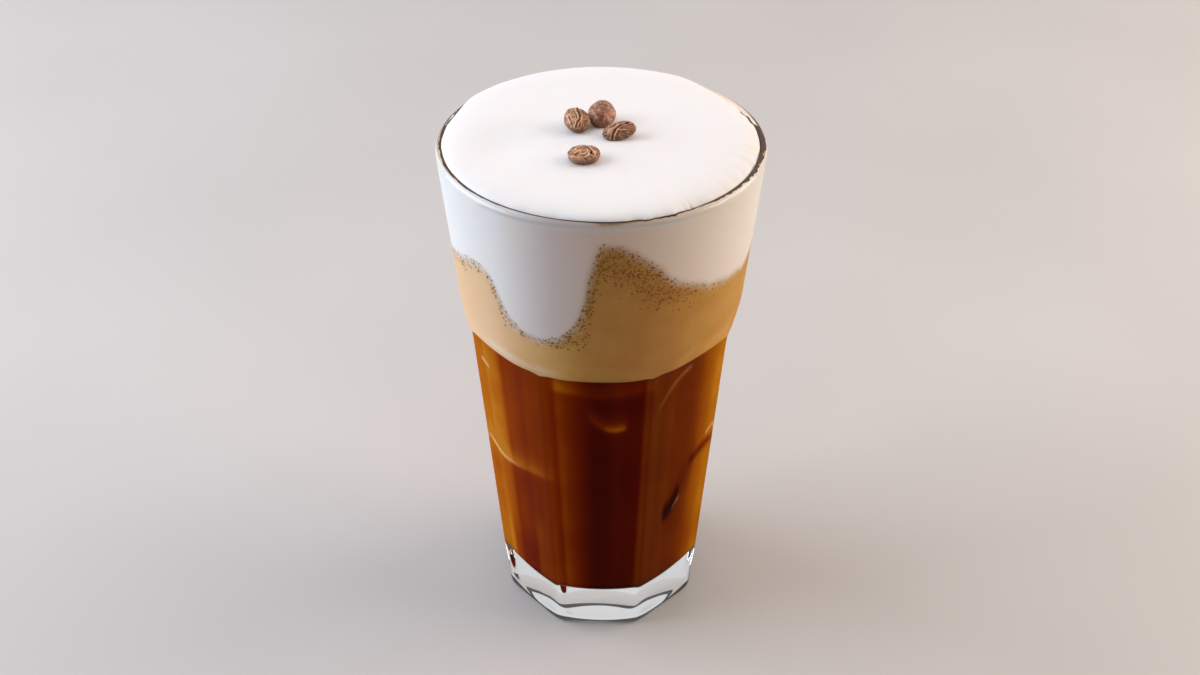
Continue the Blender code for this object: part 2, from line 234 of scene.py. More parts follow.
def makeTumbler(material):
    # one turned profile, floor to lip to foot, whose outer radius follows the facets
    spread = np.linspace(-1, 1, tumbler["columnsPerFacet"], endpoint=False)
    bunched = spread + tumbler["bunching"] * np.sin(np.pi * spread) / np.pi     # columns crowd at the facets' edges
    half = 180 / tumbler["facets"]
    azimuth = np.concatenate([
        tumbler["facetTurn"] + half * (2 * i + bunched) for i in range(tumbler["facets"])
    ])[None, :]
    floor = ring(np.linspace(0, cornerRadius, 8)[:-1, None], tumbler["floorHeight"], azimuth)
    bend = np.radians(np.linspace(-90, 0, 12))[:, None]
    corner = ring(cornerRadius + tumbler["floorCorner"] * np.cos(bend),
                  cornerHeight + tumbler["floorCorner"] * np.sin(bend), azimuth)
    inside = np.linspace(cornerHeight, lipHeight, 46)[1:-1, None]
    wall = ring(innerRadius(inside), inside, azimuth)
    round180 = np.radians(np.linspace(180, 0, 15))[:, None]
    lip = ring(lipRadius + lipHalf * np.cos(round180), lipHeight + lipHalf * np.sin(round180), azimuth)
    outside = np.concatenate([
        np.linspace(lipHeight, 114, 14)[1:], np.linspace(113.5, 98, 38), np.linspace(96, 4, 24),
        tumbler["footRounding"] * (1 - np.sin(np.radians(np.linspace(0, 90, 9)))),
    ])[:, None]
    reach = outerRadius(azimuth, outside)
    skin = ring(reach, outside, azimuth)
    wave = tumbler["waviness"] * layeredNoise(skin, tumbler["wavinessCell"], 5, 2)
    skin = ring(reach + wave * softStep(lipHeight, tumbler["wavinessTop"], outside), outside, azimuth)
    inwards = np.linspace(0, 1, 5)[1:, None]
    foot = ring(reach[-1] + (tumbler["hollowRadius"] - reach[-1]) * inwards, 0, azimuth)
    share = np.linspace(1, 0, 10)[1:, None]
    hollow = ring(tumbler["hollowRadius"] * share, tumbler["hollowDepth"] * (1 - share ** 2), azimuth)
    grid = np.concatenate([floor, corner, wall, lip, skin, foot, hollow])
    piece = laySkin("tumbler", grid, [material])
    return piece


def sodaLimeGlass():
    # pressed soda-lime glass, fire-polished: clear, with long soft ripples about 11 mm apart. Below the
    # lip its outside mirrors less than bare glass, so that the pale floor doesn't veil the drink; inside
    # it keeps its total reflection. Shadow and diffuse rays go straight through, so that what is inside
    # is lit without noise
    material, tree = startMaterial("sodaLimeGlass")
    place = addNode(tree, "ShaderNodeTexCoord")
    axes = addNode(tree, "ShaderNodeSeparateXYZ", {0: place.outputs["Object"]})
    ripple = addNode(tree, "ShaderNodeTexNoise", {"Vector": place.outputs["Object"], "Scale": 90.0, "Detail": 1.0})
    bump = addNode(tree, "ShaderNodeBump", {"Height": ripple.outputs[0], "Strength": 0.25, "Distance": 0.0001})
    bent = addNode(tree, "ShaderNodeBsdfRefraction", {
        "Color": linearColour("FCFEFE"), "Roughness": 0.02, "IOR": 1.5, "Normal": bump.outputs[0]})
    mirrored = addNode(tree, "ShaderNodeBsdfAnisotropic", {
        "Color": linearColour("FFFFFF"), "Roughness": 0.0, "Normal": bump.outputs[0]})
    share = addNode(tree, "ShaderNodeFresnel", {"IOR": 1.5, "Normal": bump.outputs[0]})
    side = addNode(tree, "ShaderNodeNewGeometry")
    low, high = tumbler["lipMirrorZone"]
    atLip = addNode(tree, "ShaderNodeMapRange", {
        "Value": axes.outputs["Z"], "From Min": low * mm, "From Max": high * mm,
        "To Min": tumbler["mirror"], "To Max": 1.0})
    kept = addNode(tree, "ShaderNodeMapRange", {
        "Value": side.outputs["Backfacing"], "To Min": atLip.outputs[0], "To Max": 1.0})
    mirror = addNode(tree, "ShaderNodeMath", {0: share.outputs[0], 1: kept.outputs[0]}, operation="MULTIPLY")
    glass = addNode(tree, "ShaderNodeMixShader", {0: mirror.outputs[0], 1: bent.outputs[0], 2: mirrored.outputs[0]})
    path = addNode(tree, "ShaderNodeLightPath")
    straight = addNode(tree, "ShaderNodeMath", {
        0: path.outputs["Is Shadow Ray"], 1: path.outputs["Is Diffuse Ray"]}, operation="MAXIMUM")
    low, high = tumbler["baseShadeZone"]
    thick = addNode(tree, "ShaderNodeMapRange", {
        "Value": axes.outputs["Z"], "From Min": low * mm, "From Max": high * mm, "To Min": 1.0, "To Max": 0.0})
    shade = addNode(tree, "ShaderNodeMix", {
        "Factor": thick.outputs[0], 6: linearColour("EDEFEF"), 7: linearColour("A8ABAB")}, data_type="RGBA")
    clear = addNode(tree, "ShaderNodeBsdfTransparent", {"Color": shade.outputs[2]})
    mix = addNode(tree, "ShaderNodeMixShader", {0: straight.outputs[0], 1: glass.outputs[0], 2: clear.outputs[0]})
    addNode(tree, "ShaderNodeOutputMaterial", {"Surface": mix.outputs[0]})
    return material


# Coffee, with the ice that is sunk in it

coffee = dict(
    level=102, bite=0.08, columns=528, wallRows=136, body="DAA261",
    fade=(0.42, 1.02, 3.6),     # how fast red, green and blue fade with depth
    amberSide=0.8,              # painted light: the green fades this much less on the right, where light comes through, between these azimuths
    amberFrom=(20.5, 23.5), amberTo=(150, 120),     # between these azimuths
    shallowest=0.7, deepest=8,
    # painted light and shade round the wall, given as how deep the light goes in before it turns back:
    # shallow and amber at the sides where the lamps shine through, deep and almost black in front, with
    # steps at the facets' edges that stand for the glass bending the view: azimuth and depth
    round=(
        (-180, 4.4), (-160, 3.2), (-140, 2.2), (-125, 1.5), (-105, 1.1), (-85, 1.0), (-66, 1.0), (-57.5, 1.15),
        (-54.5, 2.1), (-40, 2.5), (-28, 2.5), (-25.5, 2.8), (-24, 3.1), (-22.3, 2.3), (-17, 2.8),
        (-11, 4.0), (-4, 5.4), (2, 5.5), (8, 4.8), (15, 4.9), (20.8, 4.9), (22.3, 3.2), (33, 3.35),
        (43, 3.7), (52, 3.3), (60, 2.1),
        (70, 1.2), (90, 1.1), (110, 1.6), (130, 2.7), (150, 4.2), (165, 4.9),
    ),
    # how far the coffee's edge lies from its level, as an azimuth and a height: lower where the crema
    # hangs down along the wall
    rise=(
        (-120, -0.8), (-80, -1.8), (-62, -2.6), (-42, -2.4), (-28, -0.6), (-17, -1.8), (14, -1.8), (24, -0.6),
        (34, -1.8), (66, -2), (110, -0.8),
    ),
    riseSoften=4, risePower=6,
    soften=0.6, mottle=0.25, mottleCell=9, streak=0.22, streakCell=2.2, patternRadius=30.0,
    # the painted highlight along the ice edges: its width and its colour
    iceSoften=3, iceGlintWidth=0.6, iceGlintColour="EFC48C",
    mirrorIndex=0.7, mirrorZone=(13.6, 15.0),       # the index under the floor, and where it ends
    # soft shapes of ice, painted as lighter or darker coffee: line of (azimuth, height) points, how far it spreads
    # below and above, depth added, and the strength of a painted highlight on the edge where a piece of ice lies on
    # the wall, from its first end to its last
    ice=(
        dict(line=((-77, 61), (-71, 59), (-64, 57.6), (-52, 58.3), (-40, 59.8), (-28, 61)),
             below=0.5, above=4.2, add=-1.2, iceGlint=(1.15, -0.75)),
        dict(line=((-80, 52), (-66, 53), (-48, 54), (-30, 56)), below=14, above=4.2, add=0.5, iceGlint=(0, 0)),
        dict(line=((-64, 20), (-54, 21), (-40, 20)), below=14, above=13, add=1.3, iceGlint=(0, 0)),
        dict(line=((-6, 87), (-2, 84), (3, 82), (8, 81.5), (12.5, 83)), below=1.0, above=3.8, add=-2.3, iceGlint=(0, 0)),
        dict(line=((2, 82.5), (6, 82), (9, 82), (13, 83)), below=0.9, above=1.6, add=-1.3, iceGlint=(0, 0)),
        dict(line=((-24, 97), (-10, 95.5), (0, 95), (10, 95.5), (22, 97)),
             below=1.3, above=4, add=-1.4, iceGlint=(0, 0)),
        dict(line=((46, 98), (38, 96), (31, 92), (27, 87)), below=1.6, above=1.4, add=-0.9, iceGlint=(0.16, 0.04)),
        dict(line=((75, 62), (66, 61.5), (60, 60.5), (55, 59)), below=2.0, above=1.5, add=2.2, iceGlint=(0, 0)),
        dict(line=((58, 60), (51, 54), (46, 48), (42, 43)), below=7, above=7, add=0.8, iceGlint=(0, 0)),
        dict(line=((47, 49), (44, 45), (40, 43), (36, 42)), below=2.6, above=3.8, add=5, iceGlint=(0, 0)),
        dict(line=((48.5, 47.5), (46.5, 44.5), (43.5, 42.5)), below=0.3, above=0.35, add=-1.4, iceGlint=(0.35, 0.1)),
        dict(line=((80, 70), (76.5, 68), (72, 66), (68.5, 65.5)),
             below=0.6, above=0.8, add=-0.7, iceGlint=(0.6, 0.35)),
        dict(line=((-73.5, 92), (-70, 91.5), (-66.5, 90.5)), below=0.16, above=0.16, add=-0.5, iceGlint=(0.9, 0.6)),
        dict(line=((140, 63), (155, 60.5), (170, 59.5), (185, 60.5), (205, 64)),
             below=0.8, above=6, add=-1.7, iceGlint=(0.1, 0.5)),
        dict(line=((56, 27), (66, 25), (78, 27)), below=8, above=8, add=0.45, iceGlint=(0, 0)),
        dict(line=((112, 36), (130, 34), (150, 37)), below=0.8, above=5, add=-0.8, iceGlint=(0.2, 0)),
        dict(line=((-158, 88), (-142, 84.5), (-122, 87)), below=1.2, above=4, add=-1.1, iceGlint=(0, 0.15)),
        dict(line=((88, 84), (100, 79), (112, 72)), below=4, above=2.5, add=0.7, iceGlint=(0, 0)),
    ),
)


def litBrewDepth(azimuth, height):
    # the round's painted light as a depth, streaked and mottled, plus each ice shape's depth times exp(-d^2), where d
    # is the distance below or above its line over its spread on that side; and the painted highlight along the ice
    # edges
    places, depths = zip(*coffee["round"])
    spread = np.linspace(-coffee["soften"], coffee["soften"], 7)
    depth = np.mean([np.interp(azimuth + s, places, depths, period=360) for s in spread], axis=0)
    around = ring(coffee["patternRadius"], 0 * height, azimuth)
    wall = ring(coffee["patternRadius"], height, azimuth)
    depth = depth + coffee["streak"] * layeredNoise(around, coffee["streakCell"], 91)
    depth = depth + coffee["mottle"] * layeredNoise(wall, coffee["mottleCell"], 71)
    iceGlint = np.zeros(depth.shape)
    for shape in coffee["ice"]:
        places, heights = np.array(shape["line"]).T
        turn = 1 if places[-1] > places[0] else -1
        along = (azimuth - places.mean() + 180) % 360 - 180 + places.mean()
        run = (along - places[0]) / (places[-1] - places[0])
        spread = np.linspace(-coffee["iceSoften"], coffee["iceSoften"], 5)
        level = np.mean([np.interp((along + s) * turn, places * turn, heights) for s in spread], axis=0)
        apart = height - level
        band = np.exp(-(apart / np.where(apart < 0, shape["below"], shape["above"])) ** 2)
        ends = softStep(-0.12, 0.1, run) * softStep(1.12, 0.9, run)
        depth = depth + shape["add"] * band * ends
        first, last = shape["iceGlint"]
        thin = np.exp(-(apart / coffee["iceGlintWidth"]) ** 2)
        iceGlint = np.maximum(iceGlint, (first + (last - first) * np.clip(run, 0, 1)) * thin * ends)
    return np.clip(depth, coffee["shallowest"], coffee["deepest"]), iceGlint


def coffeeEdge(azimuth):
    # the level plus its rise, by straight runs softened over a few degrees
    places, rises = zip(*coffee["rise"])
    spread = np.linspace(-coffee["riseSoften"], coffee["riseSoften"], 9)
    return coffee["level"] + np.mean([np.interp(azimuth + s, places, rises, period=360) for s in spread], axis=0)


def coffeeSurface(azimuth, radius, count):
    # where coffee and crema meet: flat in the middle, reaching the edge's height as a power of the share
    share = np.linspace(0, 1, count)[:, None]
    height = coffee["level"] + (coffeeEdge(azimuth) - coffee["level"]) * share ** coffee["risePower"]
    return ring(radius * share, height, azimuth)


def makeCoffee(material):
    # the hollow's own profile, reaching just into the wall
    azimuth = np.linspace(-180, 180, coffee["columns"], endpoint=False)[None, :]
    bite = coffee["bite"]
    edge = coffeeEdge(azimuth)
    top = coffeeSurface(azimuth, innerRadius(edge) + bite, 14)
    down = edge + (cornerHeight - edge) * np.linspace(0, 1, coffee["wallRows"])[1:, None]
    wall = ring(innerRadius(down) + bite, down, azimuth)
    bend = np.radians(np.linspace(0, -90, 12))[1:, None]
    rounding = tumbler["floorCorner"] + bite
    corner = ring(cornerRadius + rounding * np.cos(bend), cornerHeight + rounding * np.sin(bend), azimuth)
    floor = ring(np.linspace(cornerRadius, 0, 6)[1:, None], tumbler["floorHeight"] - bite, azimuth)
    grid = np.concatenate([top, wall, corner, floor])
    depth, iceGlint = litBrewDepth(azimuth + 0 * grid[..., 2], grid[..., 2])
    turned = (azimuth + 180) % 360 - 180
    lit = softStep(*coffee["amberFrom"], turned) * softStep(*coffee["amberTo"], turned)
    amber = 1 - (1 - coffee["amberSide"]) * lit
    fade = np.array(coffee["fade"]) * np.stack([0 * amber + 1, amber, 0 * amber + 1], -1)
    # the colour carries painted light and shade: amber where the lamps shine in, near black where they don't
    litBrew = np.array(linearColour(coffee["body"])[:3]) * np.exp(-depth[..., None] * fade)
    piece = laySkin("coffeeBody", grid, [material], {"litBrew": litBrew, "iceGlint": iceGlint})
    return piece


def icedCoffee():
    # brewed coffee, clouded by fine oils, its colour painted with the light: amber where the side lamps shine
    # a little way in, red-brown and then almost black where it goes deep, with a painted highlight where ice
    # lies on the wall. At its floor its index is well below the glass's, so the thick base mirrors off it and stays
    # bright
    material, tree = startMaterial("icedCoffee")
    litBrew = addNode(tree, "ShaderNodeAttribute", attribute_name="litBrew")
    iceGlint = addNode(tree, "ShaderNodeAttribute", attribute_name="iceGlint")
    colour = addNode(tree, "ShaderNodeMix", {
        "Factor": iceGlint.outputs["Fac"], 6: litBrew.outputs["Color"], 7: linearColour(coffee["iceGlintColour"])},
        data_type="RGBA")
    body = addNode(tree, "ShaderNodeBsdfPrincipled", {
        "Base Color": colour.outputs[2], "Roughness": 0.5, "Specular IOR Level": 0.0})
    mirrored = addNode(tree, "ShaderNodeBsdfAnisotropic", {"Color": linearColour("FFFFFF"), "Roughness": 0.0})
    place = addNode(tree, "ShaderNodeTexCoord")
    axes = addNode(tree, "ShaderNodeSeparateXYZ", {0: place.outputs["Object"]})
    low, high = coffee["mirrorZone"]
    index = addNode(tree, "ShaderNodeMapRange", {
        "Value": axes.outputs["Z"], "From Min": low * mm, "From Max": high * mm,
        "To Min": coffee["mirrorIndex"], "To Max": 1.0})
    share = addNode(tree, "ShaderNodeFresnel", {"IOR": index.outputs[0]})
    wet = addNode(tree, "ShaderNodeMixShader", {0: share.outputs[0], 1: body.outputs[0], 2: mirrored.outputs[0]})
    addNode(tree, "ShaderNodeOutputMaterial", {"Surface": wet.outputs[0]})
    return material


# Crema and milk foam

plumes = dict(
    # where white and tan meet at the wall: azimuth and height
    line=(
        (-175, 117), (-150, 128), (-125, 140), (-106, 133), (-88, 124.5), (-72, 127.5),
        (-54, 132), (-46, 130), (-41, 120), (-35, 115), (-24, 113.5), (-15, 116),
        (-9, 122), (-5, 130), (-2.5, 146), (1.5, 148), (8, 146.5), (18, 140.5), (28, 133),
        (42, 128.5), (55, 125.5), (72, 124.5), (90, 130), (108, 139), (128, 142), (150, 128),
        (168, 118),
    ),
    soften=3.0, backSoften=9.0, backFrom=(62, 95),      # degrees of softening in front, behind, and the change
    core=127, wisp=0.35, wispCell=2.4, fray=0.45, frayCell=2.6, blur=2.2,
    whiteAbove=(148, 149.5), columns=480,
)
foam = dict(
    crown=2.6, edgePower=9, edgeRadius=42.3, spill=1.25, spillAzimuth=-168, spillReach=50,
    hollowPlace=(-27, -8), hollowDepth=1.0, hollowWidth=10, clear=0.02, bite=0.07, cremaBite=0.05,
    lump=0.2, lumpCell=2.6, swirl=0.1, swirlCell=9, swell=0.18, ripple=0.1,
    ragged=2, raggedFrom=(6, 14), raggedTo=(40, 27), step=0.55, stepFrom=(-14, 2), stepTo=(27, 25),
    inset=0.35, insetFrom=(22, 62), insetTo=(150, 112),
    # a thin skin of foam over the lip, how far out it may reach, and how dark and how wide a band on the wall just
    # under the lip is
    filmThickness=0.04, filmOut=43.7, underLipDark=0.85, underLipDarkWidth=1.3,
    # a paler band just above the coffee on the left, between these azimuths
    paleBand=0.28, paleBandHeight=2.6, paleBandWidth=1.3, paleBandFrom=(-68, -56), paleBandTo=(-16, -28),
    sink=0.12,                  # how far the crema reaches into the coffee
    # how far the foam's dark brown skin reaches over the lip beside the foam: azimuth and width
    film=(
        (-180, 0.04), (-140, 0.05), (-122, 0.5), (-75, 0.7), (-50, 0.5), (-30, 0.3), (-10, 0.15), (15, 0.15),
        (35, 0.7), (60, 1.3), (90, 1.3), (104, 0.5), (116, 0.06),
    ),
)


def plumeLevel(azimuth):
    # the mean, over a few degrees and over more behind, of straight runs between the points of the line
    places, heights = zip(*plumes["line"])
    ahead = np.abs((azimuth + 180) % 360 - 180)
    reach = plumes["soften"] + (plumes["backSoften"] - plumes["soften"]) * softStep(*plumes["backFrom"], ahead)
    spread = np.linspace(-1, 1, 13)
    return np.mean([np.interp(azimuth + reach * s, places, heights, period=360) for s in spread], axis=0)


def wispyLevel(azimuth):
    # the plume line with small wisps
    around = ring(innerRadius(130.0), 0, azimuth)
    return plumeLevel(azimuth) + plumes["wisp"] * layeredNoise(around, plumes["wispCell"], 21)


def plumeSlope(azimuth, level):
    # rise over run of the plume line along the inner wall, from a degree before to a degree after
    return (plumeLevel(azimuth + 1) - plumeLevel(azimuth - 1)) / (2 * np.radians(1) * innerRadius(level))


def wallWhiteness(points):
    # 1 in the white foam and 0 in the tan: a soft step of the distance to the plume line, which is the
    # height above it over the root of 1 + slope squared; near the lip always 1
    azimuth = np.degrees(np.arctan2(points[..., 0], -points[..., 1]))
    level = wispyLevel(azimuth)
    slope = plumeSlope(azimuth, level)
    peak = np.max([plumeLevel(azimuth + turn) for turn in (-4, -2, 0, 2, 4)], axis=0)
    distance = (points[..., 2] - level) / np.sqrt(1 + slope ** 2)
    distance = np.maximum(distance, points[..., 2] - peak)
    distance += plumes["fray"] * layeredNoise(points, plumes["frayCell"], 31)
    white = softStep(-plumes["blur"], plumes["blur"], distance)
    return np.maximum(white, softStep(*plumes["whiteAbove"], points[..., 2]))


def boundaryRows(azimuth, level, radius, shares):
    # the boundary under the foam: the wall's line flattening towards the axis as the share squared
    shares = shares[:, None]
    height = plumes["core"] + (level - plumes["core"]) * shares ** 2
    return ring(radius * shares, height, azimuth)


def foamEdge(azimuth):
    # the foam's rim: inside the lip's crest, over it behind, a little lumpy in front on the right
    turn = np.radians(azimuth)
    apart = np.abs((azimuth - foam["spillAzimuth"] + 180) % 360 - 180)
    spill = foam["spill"] * softStep(foam["spillReach"] + 8, foam["spillReach"] - 8, apart)
    ripple = foam["ripple"] * np.sin(turn * 5) * np.cos(turn * 3 + 1)
    around = ring(foam["edgeRadius"], 0, azimuth)
    ahead = (azimuth + 180) % 360 - 180
    ragged = 0.3 + foam["ragged"] * softStep(*foam["raggedFrom"], ahead) * softStep(*foam["raggedTo"], ahead)
    lumps = foam["lump"] * ragged * layeredNoise(around, foam["lumpCell"], 11)
    step = foam["step"] * softStep(*foam["stepTo"], ahead) * softStep(*foam["stepFrom"], ahead)
    inset = foam["inset"] * softStep(*foam["insetFrom"], ahead) * softStep(*foam["insetTo"], ahead)
    return np.minimum(foam["edgeRadius"] + spill + ripple + lumps + step - inset, rimRadius - 0.1)


def lipTop(radius):
    # height of the rounded lip's top under a radius, with a hair's clearance
    clear = lipHalf + foam["clear"]
    inside = np.clip(lipRadius - radius, 0, clear)
    return lipHeight + np.sqrt(clear ** 2 - inside ** 2)


def foamTop(x, y):
    # a flat crown with a rounded edge, low swells and one dip
    azimuth = np.degrees(np.arctan2(x, -y))
    edge = foamEdge(azimuth)
    share = np.clip(np.hypot(x, y) / edge, 0, 1)
    crown = foam["crown"] * np.sqrt(1 - share ** foam["edgePower"])
    swell = foam["swell"] * (np.sin(x / 11 + 0.6) + np.cos(y / 9))
    apart = np.hypot(x - foam["hollowPlace"][0], y - foam["hollowPlace"][1]) / foam["hollowWidth"]
    dip = foam["hollowDepth"] * np.exp(-apart ** 2)
    flat = np.stack([x, y, 0 * x], -1)
    relief = foam["swirl"] * layeredNoise(flat, foam["swirlCell"], 3, 2)
    level = lipTop(foam["edgeRadius"])
    return level + (lipTop(edge) - level) * share ** 12 + crown + (swell - dip + relief) * (1 - share ** 4)


def makeMilkFoam(material):
    azimuth = np.linspace(-180, 180, plumes["columns"], endpoint=False)[None, :]
    t = np.linspace(0, 1, 84)[:, None]
    edge = foamEdge(azimuth)
    top = ring(edge * (1 - (1 - t) ** 1.7), 0, azimuth)
    top[..., 2] = foamTop(top[..., 0], top[..., 1])
    clear = lipHalf + foam["clear"]
    reach = np.arccos(np.clip((lipRadius - np.minimum(edge, lipRadius)) / clear, -1, 1))
    # the film goes on over the lip, then the skin turns back under it
    places, widths = zip(*foam["film"])
    wide = np.interp(azimuth, places, widths, period=360)
    wide = wide * (1 + 0.4 * layeredNoise(ring(lipRadius, 0, azimuth), 1.7, 44))
    outer = np.minimum(edge + wide, foam["filmOut"])
    over = np.arccos(np.clip((lipRadius - outer) / clear, -1, 1))
    part = np.linspace(0, 1, 5)[1:, None]
    turn = reach + (over - reach) * part
    thick = clear + foam["filmThickness"] * np.sin(np.pi * np.sqrt(part)) ** 0.5
    coat = ring(lipRadius - thick * np.cos(turn), lipHeight + thick * np.sin(turn), azimuth)
    part = np.linspace(1, 0, 13)[1:, None]
    lip = ring(lipRadius - clear * np.cos(over * part), lipHeight + clear * np.sin(over * part), azimuth)
    lip = np.concatenate([coat, lip])
    level = wispyLevel(azimuth) - 0.1
    rise = np.linspace(1, 0, 52)[:, None] ** 1.6
    height = level + (lipHeight - 0.4 - level) * rise
    wall = ring(innerRadius(height) + foam["bite"], height, azimuth)
    under = boundaryRows(azimuth, level, innerRadius(level) + foam["bite"], np.linspace(1, 0, 12)[1:])
    grid = np.concatenate([top, lip, wall, under])
    white = np.ones(grid.shape[:2])
    first = len(top) + len(lip)
    white[first:first + len(wall)] = wallWhiteness(wall)
    white[first + len(wall):] = 0.5
    film = np.zeros(grid.shape[:2])
    film[len(top) - 2:first] = 1
    # darker in a band on the wall just under the lip
    film[first:] = foam["underLipDark"] * np.exp(-((lipHeight + 1 - grid[first:, :, 2]) / foam["underLipDarkWidth"]) ** 2)
    piece = laySkin("milkFoam", grid, [material], {"whiteness": white, "froth": frothAt(grid), "film": film})
    return piece


def makeCrema(material):
    azimuth = np.linspace(-180, 180, plumes["columns"], endpoint=False)[None, :]
    level = wispyLevel(azimuth)
    radius = innerRadius(level) + foam["cremaBite"]
    top = boundaryRows(azimuth, level, radius, np.linspace(0, 1, 22))
    drop = np.linspace(0, 1, 56)[1:, None] ** 1.6
    base = coffeeEdge(azimuth) - foam["sink"]
    height = level + (base - level) * drop
    wall = ring(innerRadius(height) + foam["cremaBite"], height, azimuth)
    under = coffeeSurface(azimuth, innerRadius(base) + foam["cremaBite"], 14)[::-1][1:] - [0, 0, foam["sink"]]
    grid = np.concatenate([top, wall, under])
    apart = (grid[..., 2] - coffeeEdge(azimuth) - foam["paleBandHeight"]) / foam["paleBandWidth"]
    ends = softStep(*foam["paleBandFrom"], azimuth) * softStep(*foam["paleBandTo"], azimuth)
    white = wallWhiteness(grid) + foam["paleBand"] * np.exp(-apart ** 2) * ends
    values = {"whiteness": np.clip(white, 0, 1), "froth": frothAt(grid), "film": 0 * grid[..., 2]}
    piece = laySkin("cremaBand", grid, [material], values)
    return piece


def foamMaterial(name, bumpScale):
    # whipped milk and coffee foam: dense, matt and slightly translucent, with pores too small to count.
    # The tan is clouded in patches about 8 mm wide, and painted light makes it paler on the left and a little
    # on the right, where the side lamps fall; below the rim the white has painted light and shade, greyer left
    # of the middle and warmer on the right; popped bubbles are brown spots about 0.3 mm wide, and the skin
    # over the lip and a band just under it are dark brown
    material, tree = startMaterial(name)
    place = addNode(tree, "ShaderNodeTexCoord")
    whiteness = addNode(tree, "ShaderNodeAttribute", attribute_name="whiteness")
    axes = addNode(tree, "ShaderNodeSeparateXYZ", {0: place.outputs["Object"]})
    cloud = addNode(tree, "ShaderNodeTexNoise", {
        "Vector": place.outputs["Object"], "Scale": 130.0, "Detail": 3.0})      # patches of 8 mm
    # painted light: the tan is paler towards the left and a little towards the right, where the side lamps fall
    leftLight = addNode(tree, "ShaderNodeMapRange", {
        "Value": axes.outputs["X"], "From Min": -0.036, "From Max": 0.002, "To Min": 1.0, "To Max": 0.0},
        interpolation_type="SMOOTHSTEP")
    rightLight = addNode(tree, "ShaderNodeMapRange", {
        "Value": axes.outputs["X"], "From Min": 0.012, "From Max": 0.034, "To Min": 0.0, "To Max": 0.15},
        interpolation_type="SMOOTHSTEP")
    sides = addNode(tree, "ShaderNodeMath", {0: leftLight.outputs[0], 1: rightLight.outputs[0]}, operation="ADD")
    shift = addNode(tree, "ShaderNodeMath", {
        0: cloud.outputs[0], 1: 0.3, 2: sides.outputs[0]}, operation="MULTIPLY_ADD")
    tan = colourRamp(tree, shift.outputs[0], [
        (0.05, "C27E26"), (0.3, "D09C48"), (0.55, "DEB06C"), (1.2, "EFCAA0")])
    # painted light and shade on the white below the rim: greyer left of the middle, warm on the right where the warm
    # lamp falls
    across = addNode(tree, "ShaderNodeMapRange", {
        "Value": axes.outputs["X"], "From Min": -0.044, "From Max": 0.044})
    sideLightAndShade = colourRamp(tree, across.outputs[0], [
        (0.2, "F9F7F6"), (0.36, "E4D6D4"), (0.55, "F0D4C0"), (0.75, "FAE6D6"), (1, "F9F4F0")])
    inside = addNode(tree, "ShaderNodeMapRange", {
        "Value": axes.outputs["Z"], "From Min": 0.1515, "From Max": 0.1545, "To Min": 1.0, "To Max": 0.0})
    white = addNode(tree, "ShaderNodeMix", {
        "Factor": inside.outputs[0], 6: linearColour("F9F7F6"), 7: sideLightAndShade}, data_type="RGBA").outputs[2]
    colour = addNode(tree, "ShaderNodeMix", {
        "Factor": whiteness.outputs["Fac"], 6: tan, 7: white}, data_type="RGBA")
    pores = addNode(tree, "ShaderNodeTexNoise", {
        "Vector": place.outputs["Object"], "Scale": bumpScale, "Detail": 3.0})
    bump = addNode(tree, "ShaderNodeBump", {"Height": pores.outputs[0], "Strength": 0.3, "Distance": 0.00008})
    cells = addNode(tree, "ShaderNodeTexVoronoi", {
        "Vector": place.outputs["Object"], "Scale": 1250.0})        # one spot in 0.8 mm
    spot = addNode(tree, "ShaderNodeMapRange", {
        "Value": cells.outputs["Distance"], "From Min": 0.2, "From Max": 0.38, "To Min": 0.75, "To Max": 0.0})
    froth = addNode(tree, "ShaderNodeAttribute", attribute_name="froth")
    popped = addNode(tree, "ShaderNodeMath", {0: spot.outputs[0], 1: froth.outputs["Fac"]}, operation="MULTIPLY")
    spotted = addNode(tree, "ShaderNodeMix", {
        "Factor": popped.outputs[0], 6: colour.outputs[2], 7: linearColour("A46618")}, data_type="RGBA")
    film = addNode(tree, "ShaderNodeAttribute", attribute_name="film")
    # the skin over the lip and the band under it are dark brown
    darkened = addNode(tree, "ShaderNodeMix", {
        "Factor": film.outputs["Fac"], 6: spotted.outputs[2], 7: linearColour("4E3A2C")}, data_type="RGBA")
    soft = addNode(tree, "ShaderNodeMapRange", {"Value": film.outputs["Fac"], "To Min": 0.6, "To Max": 0.0})
    body = addNode(tree, "ShaderNodeBsdfPrincipled", {
        "Base Color": darkened.outputs[2], "Roughness": 0.55, "Subsurface Weight": soft.outputs[0],
        "Subsurface Radius": (1.0, 0.8, 0.6), "Subsurface Scale": 0.0025, "Normal": bump.outputs[0]})
    addNode(tree, "ShaderNodeOutputMaterial", {"Surface": body.outputs[0]})
    return material


# Bubbles against the wall

bubbles = dict(
    count=2000, tries=160000, sides=8, rings=3, seed=8,
    depths=(-2.5, 17),                      # under the plume line
    smallest=0.11, wider=0.3, rarity=2.4,   # radius, and how much rarer the wide ones are
    sunk=0.06, proud=0.035,
)


